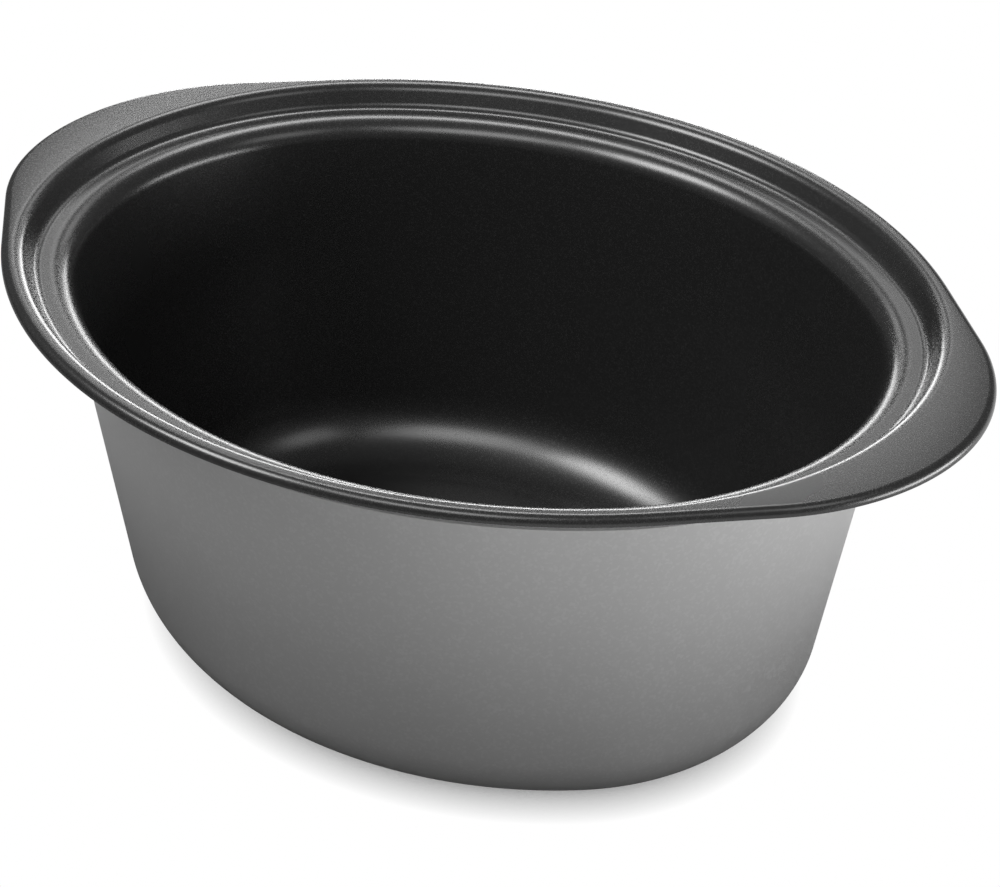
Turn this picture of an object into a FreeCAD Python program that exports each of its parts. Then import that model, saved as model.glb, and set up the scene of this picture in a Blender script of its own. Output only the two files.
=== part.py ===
import FreeCAD, Part
import math
import os

from FreeCAD import Vector

# Oval pot with a lid seat and two lugs, pressed from one sheet and coated on both faces.
# Millimetres and degrees. The pot stands on Z = 0 at its middle, and its long way is along X.

# Oval through the crest of the rim: two end arcs and two side arcs, which meet at this angle from +X
CREST_LENGTH = 267.6
CREST_WIDTH = 226.6
CREST_JOIN_ANGLE = 48.0

# From the surface that the pot stands on to the top of the rim
POT_HEIGHT = 120.0

# Layers of the wall, from the inside out
LINING_THICKNESS = 0.25
SHEET_THICKNESS = 2.0
OUTER_COAT_THICKNESS = 0.2

# Bowl: the lean of its wall from upright, and the corner between its wall and its floor
WALL_LEAN = 7.8
FLOOR_CORNER_RADIUS = 23.0

# Bare pad under the floor, standing proud of the outer coat
PAD_HEIGHT = 0.5
PAD_MARGIN = 5.0

# Lid seat: a level step below the crest, and the riser between the two
SEAT_DEPTH = 7.0
SEAT_WIDTH = 10.0
RISER_LEAN = 25.0
SEAT_CORNER_RADIUS = 3.0

# Bends with the outside of the pot on their inner side, measured there
MOUTH_BEND_RADIUS = 4.6
CREST_BEND_RADIUS = 1.5

# Rim: the flat strip between the crest and the rounded edge, along the sides
RIM_FLAT = 0.65

# Lugs: from the crest to the tip, and the round of the tip in plan
LUG_REACH = 16.0
LUG_END_RADIUS = 72.0

# Depths of the faces between the layers, below the upper face of the lining
SHEET_TOP = LINING_THICKNESS
SHEET_UNDERSIDE = SHEET_TOP + SHEET_THICKNESS
COAT_UNDERSIDE = SHEET_UNDERSIDE + OUTER_COAT_THICKNESS

# Headings of the section as it runs from the floor outwards, from level
LEVEL = 0.0
WALL_HEADING = 90.0 - WALL_LEAN
RISER_HEADING = 90.0 - RISER_LEAN
DOWN = -90.0

UP = Vector(0, 0, 1)
HALF_TURN = 180.0


def polar(angle, distance=1.0):
    """Return the level vector at this angle from +X."""
    return Vector(distance * math.cos(math.radians(angle)), distance * math.sin(math.radians(angle)), 0)


def tangent_run(radius, turn):
    """Return how far a rounded corner starts before the sharp one."""
    return radius * math.tan(math.radians(turn) / 2)


class Bend:
    """A bend in the section: an arc whose faces at every depth share one centre.

    The centre is given as an offset outside the path that the section follows and a height.
    """

    def __init__(self, offset, height, radius, before, after):
        self.offset = offset
        self.height = height
        self.before = before
        self.after = after
        self.reach = math.copysign(radius, after - before)

    def point(self, heading, depth):
        """Return the offset and height of the face at this depth, where it runs at this heading."""
        reach = self.reach + depth
        return (self.offset + reach * math.sin(math.radians(heading)),
                self.height - reach * math.cos(math.radians(heading)))

    def arc_points(self, depth):
        """Return the start, middle and end of the arc at this depth."""
        middle = (self.before + self.after) / 2
        return [self.point(heading, depth) for heading in (self.before, middle, self.after)]


class ArcRun:
    """A stretch of a path in plan that turns left about a centre."""

    def __init__(self, centre, radius, start, end):
        self.centre = centre
        self.radius = radius
        self.start = start
        self.end = end

    def station(self):
        """Return where the run starts and the outward direction there."""
        return self.centre + polar(self.start, self.radius), polar(self.start)

    def edge(self, offset, height):
        """Return the run's line at an offset outside the path."""
        circle = Part.Circle(self.centre + UP * height, UP, self.radius + offset)
        return Part.ArcOfCircle(circle, math.radians(self.start), math.radians(self.end)).toShape()

    def carry(self, face):
        """Sweep a section face along the run."""
        return face.revolve(self.centre, UP, self.end - self.start)


class StraightRun:
    """A straight stretch of a path in plan, with its outward direction."""

    def __init__(self, start, end, outward):
        self.start = start
        self.end = end
        self.outward = outward

    def station(self):
        """Return where the run starts and the outward direction there."""
        return self.start, self.outward

    def edge(self, offset, height):
        """Return the run's line at an offset outside the path."""
        shift = self.outward * offset + UP * height
        return Part.makeLine(self.start + shift, self.end + shift)

    def carry(self, face):
        """Sweep a section face along the run."""
        return face.extrude(self.end - self.start)


def crest_circles():
    """Return the centre and radius of the crest oval's end arc at +X, then of its side arc at +Y."""
    half_length = CREST_LENGTH / 2
    half_width = CREST_WIDTH / 2
    join = math.radians(CREST_JOIN_ANGLE)
    share = (1 - math.sin(join)) / math.cos(join)
    end_radius = (half_width - half_length * share) / (1 - share)
    side_radius = half_width + (half_length - end_radius) * math.tan(join)
    end_centre = Vector(half_length - end_radius, 0, 0)
    side_centre = Vector(0, half_width - side_radius, 0)
    return end_centre, end_radius, side_centre, side_radius


def crest_path():
    """Return the runs of the crest oval."""
    end_centre, end_radius, side_centre, side_radius = crest_circles()
    join = CREST_JOIN_ANGLE
    return [
        ArcRun(end_centre, end_radius, -join, join),
        ArcRun(side_centre, side_radius, join, HALF_TURN - join),
        ArcRun(-end_centre, end_radius, HALF_TURN - join, HALF_TURN + join),
        ArcRun(-side_centre, side_radius, HALF_TURN + join, 2 * HALF_TURN - join),
    ]


def rim_path():
    """Return the runs of the rim's outline: two sides, two lugs and the straight flanks between them."""
    side_centre, side_radius = crest_circles()[2:]
    side_radius += RIM_FLAT + SHEET_UNDERSIDE
    lug_centre = Vector(CREST_LENGTH / 2 + LUG_REACH - LUG_END_RADIUS, 0, 0)
    apart = lug_centre - side_centre
    lean = math.degrees(math.acos((side_radius - LUG_END_RADIUS) / apart.Length))
    flank = math.degrees(math.atan2(apart.y, apart.x)) + lean
    lug = ArcRun(lug_centre, LUG_END_RADIUS, -flank, flank)
    far_side = ArcRun(side_centre, side_radius, flank, HALF_TURN - flank)
    far_lug = ArcRun(-lug_centre, LUG_END_RADIUS, HALF_TURN - flank, HALF_TURN + flank)
    near_side = ArcRun(-side_centre, side_radius, HALF_TURN + flank, 2 * HALF_TURN - flank)
    runs = []
    for run, following in ((lug, far_side), (far_side, far_lug), (far_lug, near_side), (near_side, lug)):
        end = run.centre + polar(run.end, run.radius)
        runs += [run, StraightRun(end, following.station()[0], polar(run.end))]
    return runs


def bowl_bends():
    """Return the bends from the floor to the crest, with offsets measured from the crest oval."""
    mouth_radius = MOUTH_BEND_RADIUS + COAT_UNDERSIDE
    crest_radius = CREST_BEND_RADIUS + COAT_UNDERSIDE
    floor_height = PAD_HEIGHT + SHEET_UNDERSIDE
    seat_height = POT_HEIGHT - SEAT_DEPTH
    riser_top = -tangent_run(crest_radius, RISER_HEADING)
    riser_foot = riser_top - SEAT_DEPTH * math.tan(math.radians(RISER_LEAN))
    mouth = riser_foot - SEAT_WIDTH
    wall_foot = mouth - (seat_height - floor_height) * math.tan(math.radians(WALL_LEAN))
    return [
        Bend(wall_foot - tangent_run(FLOOR_CORNER_RADIUS, WALL_HEADING), floor_height + FLOOR_CORNER_RADIUS,
             FLOOR_CORNER_RADIUS, LEVEL, WALL_HEADING),
        Bend(mouth + tangent_run(mouth_radius, WALL_HEADING), seat_height - mouth_radius,
             mouth_radius, WALL_HEADING, LEVEL),
        Bend(riser_foot - tangent_run(SEAT_CORNER_RADIUS, RISER_HEADING), seat_height + SEAT_CORNER_RADIUS,
             SEAT_CORNER_RADIUS, LEVEL, RISER_HEADING),
        Bend(0.0, POT_HEIGHT - crest_radius, crest_radius, RISER_HEADING, LEVEL),
    ]


def edge_round():
    """Return the quarter round of the sheet's edge, with its offset measured from the rim's outline."""
    return Bend(-SHEET_UNDERSIDE, POT_HEIGHT - SHEET_UNDERSIDE, SHEET_UNDERSIDE, LEVEL, DOWN)


def face_line(bends, depth):
    """Return the arcs of the face at one depth, each as a list of three points."""
    return [bend.arc_points(depth) for bend in bends]


def section_face(run, upper, lower):
    """Return the section between two face lines, stood up where a run of the path starts."""
    origin, outward = run.station()

    def place(point):
        return origin + outward * point[0] + UP * point[1]

    edges = []
    ends = []
    for line in (upper, lower):
        pieces = [[place(point) for point in piece] for piece in line]
        for piece, following in zip(pieces, pieces[1:] + [None]):
            if len(piece) == 3:
                edges.append(Part.Arc(*piece).toShape())
            if following:
                edges.append(Part.makeLine(piece[-1], following[0]))
        ends.append((pieces[0][0], pieces[-1][-1]))
    edges += [Part.makeLine(top, bottom) for top, bottom in zip(*ends)]
    return Part.Face(Part.Wire(Part.__sortEdges__(edges)))


def closed_line(path, offset, height):
    """Return the closed wire that runs along a path at an offset and a height."""
    return Part.Wire([run.edge(offset, height) for run in path])


def plate(outer, thickness, hole=None):
    """Return a level plate that hangs below a closed wire, with a hole where one is given."""
    wires = [outer] + ([hole] if hole else [])
    return Part.makeFace(wires, "Part::FaceMakerBullseye").extrude(UP * -thickness)


def layer(top, bottom, rim_offset, floor_hole=None):
    """Return one layer of the pot, between two depths below the upper face of the lining.

    Its flat rim reaches to an offset from the rim's outline, and its floor may have a hole.
    """
    crest = crest_path()
    bends = bowl_bends()
    rim_height = POT_HEIGHT - top
    floor_height = PAD_HEIGHT + SHEET_UNDERSIDE - top
    bowl = [run.carry(section_face(run, face_line(bends, top), face_line(bends, bottom))) for run in crest]
    rim_hole = closed_line(crest, 0.0, rim_height)
    rim = plate(closed_line(rim_path(), rim_offset, rim_height), bottom - top, rim_hole)
    floor = plate(closed_line(crest, bends[0].offset, floor_height), bottom - top, floor_hole)
    return bowl + [rim, floor]


def edge_strip(upper, lower):
    """Return the pieces of a strip along the rim's edge, between two face lines."""
    return [run.carry(section_face(run, upper, lower)) for run in rim_path()]


def joined(pieces):
    """Return touching pieces as one solid."""
    return pieces[0].fuse(pieces[1:]).removeSplitter()


def pad_line(height):
    """Return the outline of the bare pad under the floor."""
    return closed_line(crest_path(), bowl_bends()[0].offset - PAD_MARGIN, height)


def nonstick_lining():
    """Return the dark coat on the inside, over the lid seat, the rim and its edge."""
    edge = edge_round()
    edge_end = POT_HEIGHT - COAT_UNDERSIDE
    outside = face_line([edge], 0.0) + [[(0.0, edge_end)]]
    inside = face_line([edge], SHEET_TOP) + [[(-LINING_THICKNESS, edge_end)]]
    return joined(layer(0.0, SHEET_TOP, edge.offset) + edge_strip(outside, inside))


def pot_shell():
    """Return the pressed sheet, with the bare pad that the pot stands on."""
    edge = edge_round()
    strip = edge_strip(face_line([edge], SHEET_TOP), [[(edge.offset, edge.height)]])
    pad = plate(pad_line(PAD_HEIGHT), PAD_HEIGHT)
    return joined(layer(SHEET_TOP, SHEET_UNDERSIDE, edge.offset) + strip + [pad])


def outer_coat():
    """Return the grey coat on the outside, open where the bare pad comes through."""
    return joined(layer(SHEET_UNDERSIDE, COAT_UNDERSIDE, -LINING_THICKNESS, pad_line(PAD_HEIGHT)))


def main():
    """Write one file for each piece of the pot."""
    os.makedirs("parts", exist_ok=True)
    for make in (pot_shell, nonstick_lining, outer_coat):
        shape = make()
        shape.exportStep(os.path.join("parts", make.__name__ + ".step"))
        print(make.__name__, len(shape.Solids), "solid", round(shape.Volume, 1), "mm3")


main()
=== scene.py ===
import logging
import math
from dataclasses import dataclass, field
from enum import Enum

import bpy
import numpy as np
from mathutils import Matrix, Vector


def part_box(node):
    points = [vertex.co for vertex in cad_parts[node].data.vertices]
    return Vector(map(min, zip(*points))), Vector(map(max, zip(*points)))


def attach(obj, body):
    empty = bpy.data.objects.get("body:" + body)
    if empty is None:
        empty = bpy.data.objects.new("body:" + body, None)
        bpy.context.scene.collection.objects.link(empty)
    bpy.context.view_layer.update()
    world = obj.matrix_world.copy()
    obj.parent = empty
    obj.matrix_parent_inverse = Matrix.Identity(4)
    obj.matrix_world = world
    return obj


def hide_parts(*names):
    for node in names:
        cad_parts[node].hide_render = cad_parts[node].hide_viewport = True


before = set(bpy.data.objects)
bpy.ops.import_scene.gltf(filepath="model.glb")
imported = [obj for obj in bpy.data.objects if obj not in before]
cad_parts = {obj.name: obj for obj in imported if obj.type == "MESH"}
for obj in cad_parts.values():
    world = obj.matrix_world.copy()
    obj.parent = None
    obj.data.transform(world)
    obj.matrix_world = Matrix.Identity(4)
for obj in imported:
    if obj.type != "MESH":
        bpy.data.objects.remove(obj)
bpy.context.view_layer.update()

# An oval pot pressed from one sheet, black inside and metallic grey outside, on a pale studio floor.
# Metres and degrees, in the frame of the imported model.

BODY = "root"

log = logging.getLogger("pot")


def grey(level: float) -> tuple[float, float, float, float]:
    """An opaque grey of one level."""
    return level, level, level, 1.0


def towards(azimuth: float, elevation: float) -> Vector:
    """Work out a direction seen from the pot.

    Args:
        azimuth: Turn about the upright in degrees, from -Y towards +X.
        elevation: Angle above level, in degrees.

    Returns:
        The direction, of length one.
    """
    turn = math.radians(azimuth)
    rise = math.radians(elevation)
    return Vector((math.sin(turn) * math.cos(rise), -math.cos(turn) * math.cos(rise), math.sin(rise)))


class Side(Enum):
    """Faces of the pressed sheet's layers, from the inside outwards."""

    LINING_TOP = "lining_top"
    SHEET_TOP = "sheet_top"
    SHEET_UNDERSIDE = "sheet_underside"
    COAT_UNDERSIDE = "coat_underside"


@dataclass(frozen=True)
class Bend:
    """A bend in the section, whose faces at every depth share one centre.

    The centre is an offset outside the path that the section follows and a height. Headings are from
    level, along the section from the floor outwards.
    """

    offset: float
    height: float
    radius: float
    before: float
    after: float

    @classmethod
    def in_corner(cls, offset: float, height: float, radius: float, before: float, after: float) -> "Bend":
        """Round a sharp corner of the section.

        Args:
            offset: Offset of the sharp corner.
            height: Height of the sharp corner.
            radius: Radius of the round.
            before: Heading of the line that runs into the corner.
            after: Heading of the line that leaves it.

        Returns:
            The bend that touches both lines.
        """
        turn = math.radians(after - before)
        middle = math.radians(after + before) / 2
        reach = math.copysign(radius, turn) / math.cos(turn / 2)
        centre = offset - reach * math.sin(middle)
        level = height + reach * math.cos(middle)
        return cls(centre, level, radius, before, after)

    def points(self, depth: float, step: float) -> list[tuple[float, float]]:
        """Sample the arc of the face at one depth.

        Args:
            depth: Distance below the upper face of the lining.
            step: Largest turn between two points, in degrees.

        Returns:
            Offsets and heights along the arc.
        """
        count = max(2, math.ceil(abs(self.after - self.before) / step) + 1)
        reach = math.copysign(self.radius, self.after - self.before) + depth
        headings = np.radians(np.linspace(self.before, self.after, count))
        return [(self.offset + reach * math.sin(h), self.height - reach * math.cos(h)) for h in headings]


@dataclass
class PotSizes:
    """Sizes of the pot: the overall ones come from the frame, the rest are those of the pressing."""

    tip: float
    rim_half_width: float
    height: float
    join_angle: float = 48.0
    lining: float = 0.00025
    sheet: float = 0.002
    coat: float = 0.0002
    wall_lean: float = 7.8
    floor_corner: float = 0.023
    pad_height: float = 0.0005
    pad_margin: float = 0.005
    seat_depth: float = 0.007
    seat_width: float = 0.010
    riser_lean: float = 25.0
    seat_corner: float = 0.003
    mouth_bend: float = 0.0046
    crest_bend: float = 0.0015
    rim_flat: float = 0.00065
    lug_reach: float = 0.016
    lug_radius: float = 0.072

    @classmethod
    def from_frame(cls) -> "PotSizes":
        """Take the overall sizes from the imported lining, which covers the whole rim."""
        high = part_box("nonstick_lining")[1]
        return cls(tip=high.x, rim_half_width=high.y, height=high.z)

    @property
    def depths(self) -> dict[Side, float]:
        """Work out where the faces of the layers lie.

        Returns:
            Depths below the upper face of the lining, by face.
        """
        underside = self.lining + self.sheet
        return {
            Side.LINING_TOP: 0.0,
            Side.SHEET_TOP: self.lining,
            Side.SHEET_UNDERSIDE: underside,
            Side.COAT_UNDERSIDE: underside + self.coat,
        }

    @property
    def half_length(self) -> float:
        """Half the length of the oval through the crest of the rim."""
        return self.tip - self.lug_reach

    @property
    def half_width(self) -> float:
        """Half the width of the oval through the crest of the rim."""
        return self.rim_half_width - self.rim_flat - self.lining - self.sheet

    @property
    def crest_radii(self) -> tuple[float, float]:
        """Work out the arcs of the crest oval.

        Returns:
            The radius of its end arcs and of its side arcs.
        """
        join = math.radians(self.join_angle)
        share = (1 - math.sin(join)) / math.cos(join)
        end = (self.half_width - self.half_length * share) / (1 - share)
        return end, self.half_width + (self.half_length - end) * math.tan(join)

    @property
    def bends(self) -> list[Bend]:
        """Work out the bends from the floor to the crest, with offsets from the crest oval.

        Returns:
            The bends, outwards.
        """
        under = self.depths[Side.COAT_UNDERSIDE]
        mouth_radius = self.mouth_bend + under
        crest_radius = self.crest_bend + under
        wall_heading = 90 - self.wall_lean
        riser_heading = 90 - self.riser_lean
        floor = self.pad_height + self.lining + self.sheet
        seat = self.height - self.seat_depth
        wall_run = math.tan(math.radians(self.wall_lean))
        riser_run = math.tan(math.radians(self.riser_lean))
        riser_top = -crest_radius * math.tan(math.radians(riser_heading) / 2)
        riser_foot = riser_top - self.seat_depth * riser_run
        mouth = riser_foot - self.seat_width
        wall_foot = mouth - (seat - floor) * wall_run
        return [
            Bend.in_corner(wall_foot, floor, self.floor_corner, 0, wall_heading),
            Bend.in_corner(mouth, seat, mouth_radius, wall_heading, 0),
            Bend.in_corner(riser_foot, seat, self.seat_corner, 0, riser_heading),
            Bend.in_corner(riser_top, self.height, crest_radius, riser_heading, 0),
        ]

    @property
    def edge(self) -> Bend:
        """Quarter round of the sheet's edge, with its offset from the rim's outline."""
        under = self.lining + self.sheet
        return Bend(-under, self.height - under, under, 0, -90)


@dataclass(frozen=True)
class PlanArc:
    """An arc in plan: its centre, its radius, and its first and last outward direction in radians."""

    x: float
    y: float
    radius: float
    first: float
    last: float

    def points(self, count: int) -> tuple[np.ndarray, np.ndarray]:
        """Sample the arc.

        Args:
            count: How many points.

        Returns:
            The points, and the angle of the outward direction at each.
        """
        angles = np.linspace(self.first, self.last, count)
        across = self.x + self.radius * np.cos(angles)
        along = self.y + self.radius * np.sin(angles)
        return np.stack([across, along], 1), angles


@dataclass
class PlanStations:
    """Points round the pot in plan, for the crest oval and for the outline of the rim and its lugs."""

    sizes: PotSizes
    count: int = 480
    fine_count: int = 6000
    arc_count: int = 2000
    crest: np.ndarray = field(init=False)
    crest_out: np.ndarray = field(init=False)
    rim: np.ndarray = field(init=False)
    rim_out: np.ndarray = field(init=False)

    def __post_init__(self) -> None:
        """Work out the stations of both lines, which share their angles round the middle."""
        crest, crest_normal = self._even(self._crest_arcs(), self.count)
        rim, rim_normal = self._even(self._rim_arcs(), self.fine_count)
        angle = np.arctan2(crest[:, 1], crest[:, 0])
        turned = np.unwrap(np.arctan2(rim[:, 1], rim[:, 0]))
        period = 2 * math.pi
        self.crest = crest
        self.crest_out = np.stack([np.cos(crest_normal), np.sin(crest_normal)], 1)
        self.rim = np.stack([np.interp(angle, turned, rim[:, axis], period=period) for axis in (0, 1)], 1)
        out = np.stack([np.cos(rim_normal), np.sin(rim_normal)], 1)
        out = np.stack([np.interp(angle, turned, out[:, axis], period=period) for axis in (0, 1)], 1)
        self.rim_out = out / np.linalg.norm(out, axis=1)[:, None]

    def _crest_arcs(self) -> list[PlanArc]:
        """Work out the four arcs of the crest oval.

        Returns:
            The arcs, in order round the oval.
        """
        sizes = self.sizes
        end, side = sizes.crest_radii
        join = math.radians(sizes.join_angle)
        x = sizes.half_length - end
        y = sizes.half_width - side
        return [
            PlanArc(x, 0.0, end, -join, join),
            PlanArc(0.0, y, side, join, math.pi - join),
            PlanArc(-x, 0.0, end, math.pi - join, math.pi + join),
            PlanArc(0.0, -y, side, math.pi + join, 2 * math.pi - join),
        ]

    def _rim_arcs(self) -> list[PlanArc]:
        """Work out the arcs of the rim's outline, which straight flanks join.

        Returns:
            The arcs of the lugs and of the long sides, in order round the rim.
        """
        sizes = self.sizes
        crest_side = sizes.crest_radii[1]
        side = crest_side + sizes.rim_half_width - sizes.half_width
        x = sizes.tip - sizes.lug_radius
        y = sizes.half_width - crest_side
        apart = math.hypot(x, y)
        flank = math.atan2(-y, x) + math.acos((side - sizes.lug_radius) / apart)
        return [
            PlanArc(x, 0.0, sizes.lug_radius, -flank, flank),
            PlanArc(0.0, y, side, flank, math.pi - flank),
            PlanArc(-x, 0.0, sizes.lug_radius, math.pi - flank, math.pi + flank),
            PlanArc(0.0, -y, side, math.pi + flank, 2 * math.pi - flank),
        ]

    def _even(self, arcs: list[PlanArc], count: int) -> tuple[np.ndarray, np.ndarray]:
        """Spread points evenly along a closed line of arcs and the straight runs between them.

        Args:
            arcs: The arcs in order.
            count: How many points.

        Returns:
            The points, and the angle of the outward direction at each.
        """
        points: list[np.ndarray] = []
        normals: list[np.ndarray] = []
        for arc in arcs:
            places, angles = arc.points(self.arc_count)
            points.append(places)
            normals.append(angles)
        points.append(points[0][:1])
        normals.append(normals[0][:1] + 2 * math.pi)
        line = np.concatenate(points)
        angle = np.concatenate(normals)
        length = np.concatenate([[0.0], np.cumsum(np.linalg.norm(np.diff(line, axis=0), axis=1))])
        places = np.linspace(0, length[-1], count, endpoint=False)
        even = np.stack([np.interp(places, length, line[:, axis]) for axis in (0, 1)], 1)
        return even, np.interp(places, length, angle)

    def on_crest(self, offset: float, height: float) -> np.ndarray:
        """A ring at an offset outside the crest oval."""
        flat = self.crest + self.crest_out * offset
        return np.column_stack([flat, np.full(self.count, height)])

    def on_rim(self, offset: float, height: float) -> np.ndarray:
        """A ring at an offset outside the rim's outline."""
        flat = self.rim + self.rim_out * offset
        return np.column_stack([flat, np.full(self.count, height)])


@dataclass
class RingMesh:
    """A closed mesh of quads between rings of equal length."""

    name: str
    rings: list[np.ndarray]
    sharp_angle: float = 40.0

    def build(self, looped: bool) -> bpy.types.Object:
        """Make the mesh object.

        Args:
            looped: Whether the last ring joins the first one; otherwise both ends close at a middle point.

        Returns:
            The new object, linked to the scene.
        """
        count = len(self.rings[0])
        vertices = np.concatenate(self.rings)
        steps = len(self.rings) if looped else len(self.rings) - 1
        start = np.arange(count)
        following = np.roll(start, -1)
        faces: list[list[int]] = []
        for step in range(steps):
            low = step * count
            high = ((step + 1) % len(self.rings)) * count
            faces += np.column_stack([low + start, high + start, high + following, low + following]).tolist()
        if not looped:
            first = len(vertices)
            last = first + 1
            vertices = np.vstack([vertices, self.rings[0].mean(0), self.rings[-1].mean(0)])
            end = (len(self.rings) - 1) * count
            faces += np.column_stack([np.full(count, first), start, following]).tolist()
            faces += np.column_stack([np.full(count, last), end + following, end + start]).tolist()
        mesh = bpy.data.meshes.new(self.name)
        mesh.from_pydata(vertices.tolist(), [], faces)
        mesh.validate()
        mesh.shade_smooth()
        mesh.set_sharp_from_angle(angle=math.radians(self.sharp_angle))
        piece = bpy.data.objects.new(self.name, mesh)
        bpy.context.scene.collection.objects.link(piece)
        return piece


class NodeSheet:
    """Short hand for placing and joining nodes in one node tree."""

    def __init__(self, tree: bpy.types.NodeTree) -> None:
        """Keep the tree that nodes are added to."""
        self.tree = tree

    def add(self, kind: str, **values: object) -> bpy.types.Node:
        """Add a node.

        Args:
            kind: The node's type name.
            **values: Properties of the node, by name.

        Returns:
            The node.
        """
        node = self.tree.nodes.new(kind)
        for name, value in values.items():
            setattr(node, name, value)
        return node

    def join(self, source: bpy.types.NodeSocket, target: bpy.types.NodeSocket) -> None:
        """Link one socket to another."""
        self.tree.links.new(source, target)

    def math(
        self, operation: str, first: object, second: object = 0.0, third: object = 0.0
    ) -> bpy.types.NodeSocket:
        """Place a Math node.

        Args:
            operation: Name of the operation.
            first: A socket or a number.
            second: A socket or a number.
            third: A socket or a number.

        Returns:
            The socket with the result.
        """
        node = self.add("ShaderNodeMath", operation=operation)
        for slot, value in zip(node.inputs, (first, second, third)):
            self.feed(value, slot)
        return node.outputs[0]

    def feed(self, value: object, target: bpy.types.NodeSocket) -> None:
        """Give a socket a link or a plain value.

        Args:
            value: A socket or a number.
            target: The socket that gets it.
        """
        if isinstance(value, bpy.types.NodeSocket):
            self.join(value, target)
        else:
            target.default_value = value


class SparkleGroup:
    """Node group for a sprayed coat: fine grains, small flakes and slow clouds."""

    NAME = "coat_sparkle"
    INPUTS = ("Grains per metre", "Flake share", "Clouds per metre")
    OUTPUTS = ("Grain", "Flake", "Cloud")
    GRAIN_DETAIL = 2.0
    CLOUD_DETAIL = 3.0

    def tree(self) -> bpy.types.NodeTree:
        """Build the group once.

        Returns:
            The group, with its grain height, flake mask and slow clouding.
        """
        found = bpy.data.node_groups.get(self.NAME)
        if found:
            return found
        group = bpy.data.node_groups.new(self.NAME, "ShaderNodeTree")
        for name in self.INPUTS:
            group.interface.new_socket(name, in_out="INPUT", socket_type="NodeSocketFloat")
        for name in self.OUTPUTS:
            group.interface.new_socket(name, in_out="OUTPUT", socket_type="NodeSocketFloat")
        sheet = NodeSheet(group)
        given = sheet.add("NodeGroupInput")
        result = sheet.add("NodeGroupOutput")
        place = sheet.add("ShaderNodeTexCoord").outputs["Object"]
        noise = sheet.add("ShaderNodeTexNoise")
        noise.inputs["Detail"].default_value = self.GRAIN_DETAIL
        sheet.join(place, noise.inputs["Vector"])
        sheet.join(given.outputs["Grains per metre"], noise.inputs["Scale"])
        cells = sheet.add("ShaderNodeTexVoronoi")
        sheet.join(place, cells.inputs["Vector"])
        sheet.join(given.outputs["Grains per metre"], cells.inputs["Scale"])
        chosen = sheet.add("ShaderNodeSeparateColor")
        sheet.join(cells.outputs["Color"], chosen.inputs[0])
        flake = sheet.math("LESS_THAN", chosen.outputs[0], given.outputs["Flake share"])
        shade = sheet.math("MULTIPLY", flake, chosen.outputs[1])
        cloud = sheet.add("ShaderNodeTexNoise")
        cloud.inputs["Detail"].default_value = self.CLOUD_DETAIL
        sheet.join(place, cloud.inputs["Vector"])
        sheet.join(given.outputs["Clouds per metre"], cloud.inputs["Scale"])
        sheet.join(noise.outputs["Fac"], result.inputs["Grain"])
        sheet.join(shade, result.inputs["Flake"])
        sheet.join(cloud.outputs["Fac"], result.inputs["Cloud"])
        return group


@dataclass(frozen=True)
class SprayedCoat:
    """A sprayed coat: its colour, how far its flakes lighten it, its gloss and how clouds and flakes swing
    it, and its grain.
    """

    name: str
    colour: float
    flake_colour: float
    metallic: float
    specular: float
    roughness: float
    roughness_swing: float
    flake_roughness: float
    grains: float
    flake_share: float
    clouds: float
    grain_height: float
    bump: float

    def material(self) -> bpy.types.Material:
        """Build the coat's material.

        Returns:
            The material.
        """
        made = bpy.data.materials.new(self.name)
        made.use_nodes = True
        sheet = NodeSheet(made.node_tree)
        surface = made.node_tree.nodes["Principled BSDF"]
        sparkle = sheet.add("ShaderNodeGroup", node_tree=SparkleGroup().tree())
        sparkle.inputs["Grains per metre"].default_value = self.grains
        sparkle.inputs["Flake share"].default_value = self.flake_share
        sparkle.inputs["Clouds per metre"].default_value = self.clouds
        mix = sheet.add("ShaderNodeMix", data_type="RGBA")
        mix.inputs["A"].default_value = grey(self.colour)
        mix.inputs["B"].default_value = grey(self.flake_colour)
        sheet.join(sparkle.outputs["Flake"], mix.inputs["Factor"])
        sheet.join(mix.outputs["Result"], surface.inputs["Base Color"])
        swing = sheet.math("MULTIPLY_ADD", sparkle.outputs["Cloud"], self.roughness_swing,
                           self.roughness - self.roughness_swing / 2)
        rough = sheet.math("MULTIPLY_ADD", sparkle.outputs["Flake"], self.flake_roughness, swing)
        sheet.join(rough, surface.inputs["Roughness"])
        surface.inputs["Metallic"].default_value = self.metallic
        surface.inputs["Specular IOR Level"].default_value = self.specular
        bump = sheet.add("ShaderNodeBump")
        bump.inputs["Strength"].default_value = self.bump
        bump.inputs["Distance"].default_value = self.grain_height
        sheet.join(sparkle.outputs["Grain"], bump.inputs["Height"])
        sheet.join(bump.outputs["Normal"], surface.inputs["Normal"])
        return made


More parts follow.
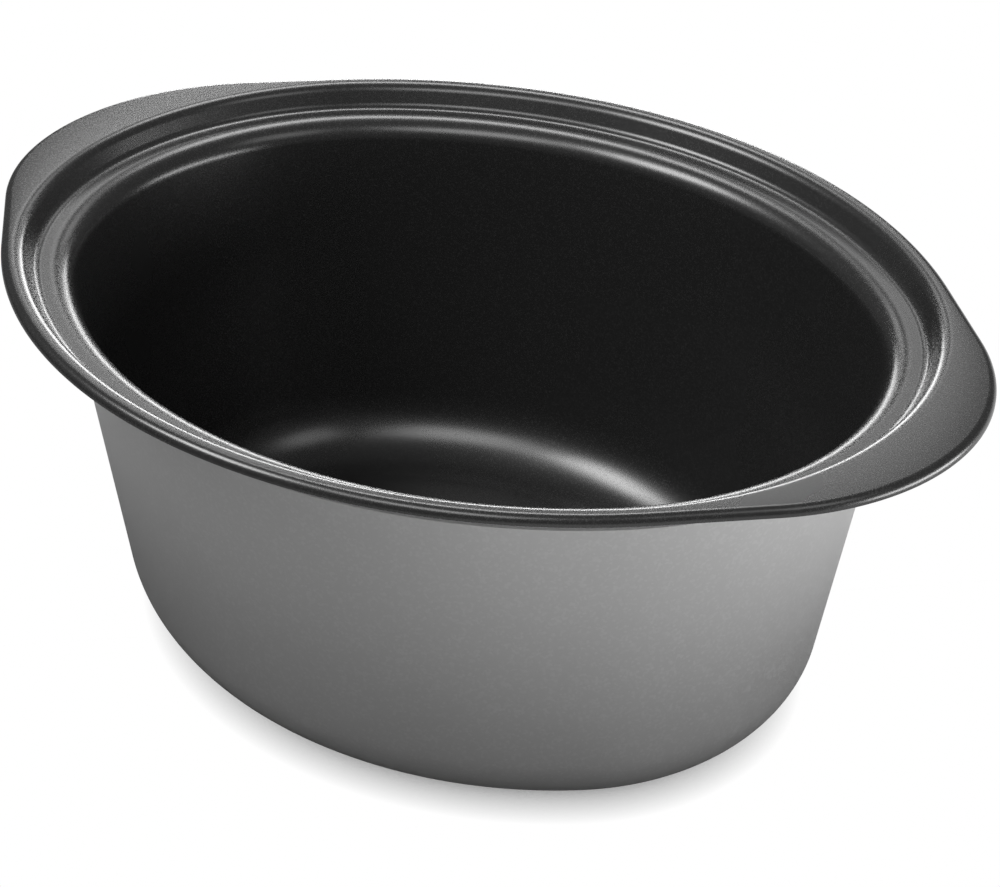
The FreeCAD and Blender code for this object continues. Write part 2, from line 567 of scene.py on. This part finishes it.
@dataclass(frozen=True)
class GroundMetal:
    """Bare aluminium with fine straight marks from grinding."""

    name: str = "ground_aluminium"
    colour: float = 0.72
    mark_colour: float = 0.5
    metallic: float = 1.0
    roughness: float = 0.34
    marks: float = 2600.0
    stretch: float = 0.02
    mark_height: float = 0.0001
    bump: float = 0.25

    def material(self) -> bpy.types.Material:
        """Build the metal's material.

        Returns:
            The material.
        """
        made = bpy.data.materials.new(self.name)
        made.use_nodes = True
        sheet = NodeSheet(made.node_tree)
        surface = made.node_tree.nodes["Principled BSDF"]
        place = sheet.add("ShaderNodeTexCoord").outputs["Object"]
        along = sheet.add("ShaderNodeMapping")
        along.inputs["Scale"].default_value = (self.stretch, 1.0, 1.0)
        sheet.join(place, along.inputs["Vector"])
        marks = sheet.add("ShaderNodeTexNoise")
        marks.inputs["Scale"].default_value = self.marks
        sheet.join(along.outputs["Vector"], marks.inputs["Vector"])
        mix = sheet.add("ShaderNodeMix", data_type="RGBA")
        mix.inputs["A"].default_value = grey(self.mark_colour)
        mix.inputs["B"].default_value = grey(self.colour)
        sheet.join(marks.outputs["Fac"], mix.inputs["Factor"])
        sheet.join(mix.outputs["Result"], surface.inputs["Base Color"])
        rough = sheet.math("MULTIPLY_ADD", marks.outputs["Fac"], self.roughness / 2, self.roughness / 2)
        sheet.join(rough, surface.inputs["Roughness"])
        surface.inputs["Metallic"].default_value = self.metallic
        bump = sheet.add("ShaderNodeBump")
        bump.inputs["Strength"].default_value = self.bump
        bump.inputs["Distance"].default_value = self.mark_height
        sheet.join(marks.outputs["Fac"], bump.inputs["Height"])
        sheet.join(bump.outputs["Normal"], surface.inputs["Normal"])
        return made


BLACK_NONSTICK = SprayedCoat(
    name="black_nonstick",
    colour=0.011,
    flake_colour=0.02,
    metallic=0.0,
    specular=0.6,
    roughness=0.27,
    roughness_swing=0.04,
    flake_roughness=0.06,
    grains=3300.0,
    flake_share=0.3,
    clouds=14.0,
    grain_height=0.00002,
    bump=0.1,
)
GREY_METALLIC = SprayedCoat(
    name="grey_metallic_coat",
    colour=0.49,
    flake_colour=0.53,
    metallic=0.85,
    specular=0.5,
    roughness=0.32,
    roughness_swing=0.04,
    flake_roughness=0.05,
    grains=1300.0,
    flake_share=0.4,
    clouds=10.0,
    grain_height=0.00002,
    bump=0.15,
)


@dataclass
class CoatedPot:
    """The pot: its bare sheet from the frame, and the two coats on it."""

    sizes: PotSizes
    stations: PlanStations
    bend_step: float = 4.0
    edge_step: float = 6.0
    hidden_step: float = 14.0
    wall_rows: int = 12
    floor_rows: int = 7
    floor_middle: float = 0.1

    def _bowl_rings(self, side: Side, step: float) -> list[np.ndarray]:
        """Rings of one face, from the edge of the flat floor to the crest.

        Args:
            side: Which face.
            step: Largest turn between rings in a bend, in degrees.

        Returns:
            The rings, outwards.
        """
        depth = self.sizes.depths[side]
        arcs = [bend.points(depth, step) for bend in self.sizes.bends]
        wall = np.linspace(arcs[0][-1], arcs[1][0], self.wall_rows + 2)[1:-1]
        line = arcs[0] + wall.tolist() + arcs[1] + arcs[2] + arcs[3]
        return [self.stations.on_crest(*point) for point in line]

    def _floor_rings(self, edge: np.ndarray) -> list[np.ndarray]:
        """Rings of a flat floor inside its edge.

        Args:
            edge: The ring at the floor's edge.

        Returns:
            The rings, outwards, without the edge itself.
        """
        shares = np.linspace(self.floor_middle, 1.0, self.floor_rows + 1)[:-1]
        return [edge * (share, share, 1.0) for share in shares]

    def _edge_rings(self, depth: float, step: float) -> list[np.ndarray]:
        """Rings over the rounded edge of the rim, down to where the lining ends.

        Args:
            depth: Depth of the face below the upper face of the lining.
            step: Largest turn between rings, in degrees.

        Returns:
            The rings, outwards and down.
        """
        points = self.sizes.edge.points(depth, step)
        low = self.sizes.height - self.sizes.depths[Side.COAT_UNDERSIDE]
        return [self.stations.on_rim(*point) for point in points + [(-depth, low)]]

    def lining(self) -> bpy.types.Object:
        """Build the black lining: inside, over the lid seat, the rim and its edge.

        Returns:
            The piece.
        """
        top = self._bowl_rings(Side.LINING_TOP, self.bend_step)
        under = self._bowl_rings(Side.SHEET_TOP, self.hidden_step)
        upper = self._floor_rings(top[0]) + top + self._edge_rings(0.0, self.edge_step)
        lower = self._floor_rings(under[0]) + under + self._edge_rings(self.sizes.lining, self.hidden_step)
        piece = RingMesh("lining", upper + lower[::-1]).build(looped=False)
        piece.data.materials.append(BLACK_NONSTICK.material())
        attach(piece, BODY)
        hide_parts("nonstick_lining")
        return piece

    def outside(self) -> bpy.types.Object:
        """Build the grey coat: outside, under the rim, and under the floor round the bare pad.

        Returns:
            The piece.
        """
        sizes = self.sizes
        depths = sizes.depths
        pad = sizes.bends[0].offset - sizes.pad_margin
        outer = self._bowl_rings(Side.COAT_UNDERSIDE, self.bend_step)
        inner = self._bowl_rings(Side.SHEET_UNDERSIDE, self.hidden_step)
        faces = []
        for rings, side in ((outer, Side.COAT_UNDERSIDE), (inner, Side.SHEET_UNDERSIDE)):
            height = sizes.height - depths[side]
            rim = self.stations.on_rim(-sizes.lining, height)
            hole = self.stations.on_crest(pad, rings[0][0, 2])
            faces.append([hole] + rings + [rim])
        piece = RingMesh("outside", faces[1] + faces[0][::-1]).build(looped=True)
        piece.data.materials.append(GREY_METALLIC.material())
        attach(piece, BODY)
        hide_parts("outer_coat")
        return piece

    def sheet(self) -> bpy.types.Object:
        """Finish the bare sheet, which shows as the ground pad under the floor.

        Returns:
            The node of the frame.
        """
        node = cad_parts["pot_shell"]
        node.data.materials.clear()
        node.data.materials.append(GroundMetal().material())
        return node


@dataclass
class PhotoCamera:
    """The camera, as an orbit about the middle of the rim and a slide across the view."""

    target_height: float
    azimuth: float = 36.077
    elevation: float = 32.499
    roll: float = 1.592
    distance: float = 0.62373
    slide_right: float = 0.00788
    slide_up: float = -0.04973
    sensor: float = 36.0
    lens: float = 82.395
    nearest: float = 0.01

    def place(self) -> bpy.types.Object:
        """Make the camera the scene's own.

        Returns:
            The camera object.
        """
        turn = math.radians(self.azimuth)
        roll = math.radians(self.roll)
        back = towards(self.azimuth, self.elevation)
        level = Vector((math.cos(turn), math.sin(turn), 0))
        rise = back.cross(level)
        right = level * math.cos(roll) + rise * math.sin(roll)
        up = rise * math.cos(roll) - level * math.sin(roll)
        data = bpy.data.cameras.new("camera")
        data.sensor_width = self.sensor
        data.lens = self.lens
        data.clip_start = self.nearest
        camera = bpy.data.objects.new("camera", data)
        bpy.context.scene.collection.objects.link(camera)
        spot = back * self.distance + right * self.slide_right + up * self.slide_up
        spot.z += self.target_height
        camera.matrix_world = Matrix.Translation(spot) @ Matrix((right, up, back)).transposed().to_4x4()
        bpy.context.scene.camera = camera
        return camera


@dataclass(frozen=True)
class SoftBox:
    """A soft lamp with a rectangular face, placed round the pot and turned to it."""

    name: str
    azimuth: float
    elevation: float
    distance: float
    width: float
    depth: float
    watts: float

    def hang(self, aim: Vector) -> bpy.types.Object:
        """Hang the lamp.

        Args:
            aim: The point that it faces.

        Returns:
            The lamp object.
        """
        back = towards(self.azimuth, self.elevation)
        data = bpy.data.lights.new(self.name, "AREA")
        data.shape = "RECTANGLE"
        data.size = self.width
        data.size_y = self.depth
        data.energy = self.watts
        lamp = bpy.data.objects.new(self.name, data)
        bpy.context.scene.collection.objects.link(lamp)
        lamp.location = aim + back * self.distance
        lamp.rotation_mode = "QUATERNION"
        lamp.rotation_quaternion = (-back).to_track_quat("-Z", "Y")
        return lamp


@dataclass
class Studio:
    """The pale floor, the plain surroundings and the lamps."""

    aim: Vector
    floor_size: float = 14.0
    floor_gap: float = 0.0002
    floor_colour: float = 0.8
    shade_samples: int = 6
    shadow_reach: float = 0.009
    shadow_power: float = 0.45
    # Painted shadow on the floor in gloss, wide and steep, which makes the pot's outside darker towards the
    # bottom.
    gloss_shadow_reach: float = 0.3
    gloss_shadow_power: float = 5.0
    # Painted light on the floor in gloss: its level grows by this factor per metre towards the side below.
    painted_light_lean: float = 30.0
    surroundings: float = 0.35
    glossy_sky: float = 0.15
    # Direction in which the painted light on the floor grows.
    painted_light_side: tuple[float, float, float] = (0.81, 0.59, 0.0)
    lamps: tuple[SoftBox, ...] = (
        SoftBox("back_box_right", 204.0, 32.0, 1.5, 0.34, 0.29, 0.8),
        SoftBox("back_box_left", 228.0, 31.0, 1.5, 0.3, 0.29, 0.9),
        SoftBox("back_box_high", 217.0, 57.0, 1.5, 0.7, 0.34, 8.0),
        SoftBox("horizon_box", 216.0, 7.0, 1.5, 0.8, 0.28, 8.0),
        SoftBox("left_box", 314.0, 48.0, 1.5, 0.7, 0.45, 16.0),
        SoftBox("front_box", 10.0, 54.0, 1.5, 0.7, 0.5, 6.5),
        SoftBox("front_box_right", 84.0, 50.0, 1.5, 0.6, 0.5, 2.2),
        SoftBox("right_box", 114.0, 5.0, 1.5, 1.2, 0.4, 20.0),
    )

    def floor(self) -> bpy.types.Object:
        """Lay the floor just below the pot.

        Returns:
            The floor object.
        """
        half = self.floor_size / 2
        plan = ((-half, -half), (half, -half), (half, half), (-half, half))
        mesh = bpy.data.meshes.new("floor")
        mesh.from_pydata([(x, y, -self.floor_gap) for x, y in plan], [], [(0, 1, 2, 3)])
        mesh.materials.append(self._floor_material())
        floor = bpy.data.objects.new("floor", mesh)
        bpy.context.scene.collection.objects.link(floor)
        return floor

    def _floor_material(self) -> bpy.types.Material:
        """Build the floor's material, white to the eye and in gloss, which keeps the pot's soft shadow.

        Returns:
            The material.
        """
        made = bpy.data.materials.new("floor")
        made.use_nodes = True
        tree = made.node_tree
        sheet = NodeSheet(tree)
        tree.nodes.remove(tree.nodes["Principled BSDF"])
        paint = sheet.add("ShaderNodeBsdfDiffuse")
        paint.inputs["Color"].default_value = grey(self.floor_colour)
        path = sheet.add("ShaderNodeLightPath")
        glossy = path.outputs["Is Glossy Ray"]
        level = sheet.add("ShaderNodeMix", data_type="FLOAT")
        sheet.join(glossy, level.inputs["Factor"])
        sheet.join(self._near_shade(sheet, self.shadow_reach, self.shadow_power), level.inputs["A"])
        sheet.join(self._gloss_level(sheet), level.inputs["B"])
        glow = sheet.add("ShaderNodeEmission")
        sheet.join(level.outputs["Result"], glow.inputs["Strength"])
        seen = sheet.math("MAXIMUM", path.outputs["Is Camera Ray"], path.outputs["Is Transmission Ray"])
        seen = sheet.math("MAXIMUM", seen, glossy)
        mix = sheet.add("ShaderNodeMixShader")
        sheet.join(seen, mix.inputs[0])
        sheet.join(paint.outputs[0], mix.inputs[1])
        sheet.join(glow.outputs[0], mix.inputs[2])
        sheet.join(mix.outputs[0], tree.nodes["Material Output"].inputs["Surface"])
        return made

    def _near_shade(self, sheet: NodeSheet, reach: float, power: float) -> bpy.types.NodeSocket:
        """Place a shade that darkens the floor close to the pot.

        Args:
            sheet: Where the nodes go.
            reach: How far from the pot the shade reaches.
            power: How steeply it darkens.

        Returns:
            The socket with the level, 1 away from the pot.
        """
        shade = sheet.add("ShaderNodeAmbientOcclusion", samples=self.shade_samples)
        shade.inputs["Distance"].default_value = reach
        return sheet.math("POWER", shade.outputs["AO"], power)

    def _gloss_level(self, sheet: NodeSheet) -> bpy.types.NodeSocket:
        """Place the level that the floor has in gloss: a painted shadow close to the pot, and painted light
        that grows towards one side, which the pot's outside reflects.

        Args:
            sheet: Where the nodes go.

        Returns:
            The socket with the level, at most 1.
        """
        across = sheet.add("ShaderNodeVectorMath", operation="DOT_PRODUCT")
        across.inputs[1].default_value = self.painted_light_side
        sheet.join(sheet.add("ShaderNodeNewGeometry").outputs["Position"], across.inputs[0])
        # Painted light: the floor in gloss grows brighter towards one side.
        painted_light = sheet.math("POWER", self.painted_light_lean, across.outputs["Value"])
        shade = self._near_shade(sheet, self.gloss_shadow_reach, self.gloss_shadow_power)
        return sheet.math("MINIMUM", sheet.math("MULTIPLY", shade, painted_light), 1.0)

    def world(self) -> None:
        """Set the surroundings: white to the eye, and dim in gloss and as light."""
        world = bpy.data.worlds.new("surroundings")
        bpy.context.scene.world = world
        world.use_nodes = True
        tree = world.node_tree
        sheet = NodeSheet(tree)
        path = sheet.add("ShaderNodeLightPath")
        seen = sheet.math("MAXIMUM", path.outputs["Is Camera Ray"], path.outputs["Is Transmission Ray"])
        in_gloss = sheet.math("MULTIPLY", path.outputs["Is Glossy Ray"], self.glossy_sky)
        seen = sheet.math("MAXIMUM", seen, in_gloss)
        dim = sheet.math("MULTIPLY", path.outputs["Is Diffuse Ray"], self.surroundings)
        strength = sheet.math("MAXIMUM", seen, dim)
        ground = tree.nodes["Background"]
        ground.inputs["Color"].default_value = grey(1.0)
        sheet.join(strength, ground.inputs["Strength"])

    def light(self) -> list[bpy.types.Object]:
        """Hang every lamp."""
        return [lamp.hang(self.aim) for lamp in self.lamps]


def main() -> None:
    """Build the pot, the studio and the camera."""
    logging.basicConfig(level=logging.INFO, format="%(name)s: %(message)s")
    sizes = PotSizes.from_frame()
    pot = CoatedPot(sizes, PlanStations(sizes))
    for build in (pot.sheet, pot.lining, pot.outside):
        piece = build()
        log.info("%s: %d faces", piece.name, len(piece.data.polygons))
    studio = Studio(aim=Vector((0.0, 0.0, sizes.height / 2)))
    studio.floor()
    studio.world()
    for lamp in studio.light():
        log.info("%s: %.1f W", lamp.name, lamp.data.energy)
    PhotoCamera(target_height=sizes.height).place()
    bpy.context.scene.view_settings.view_transform = "Standard"


if __name__ == "__main__":
    main()
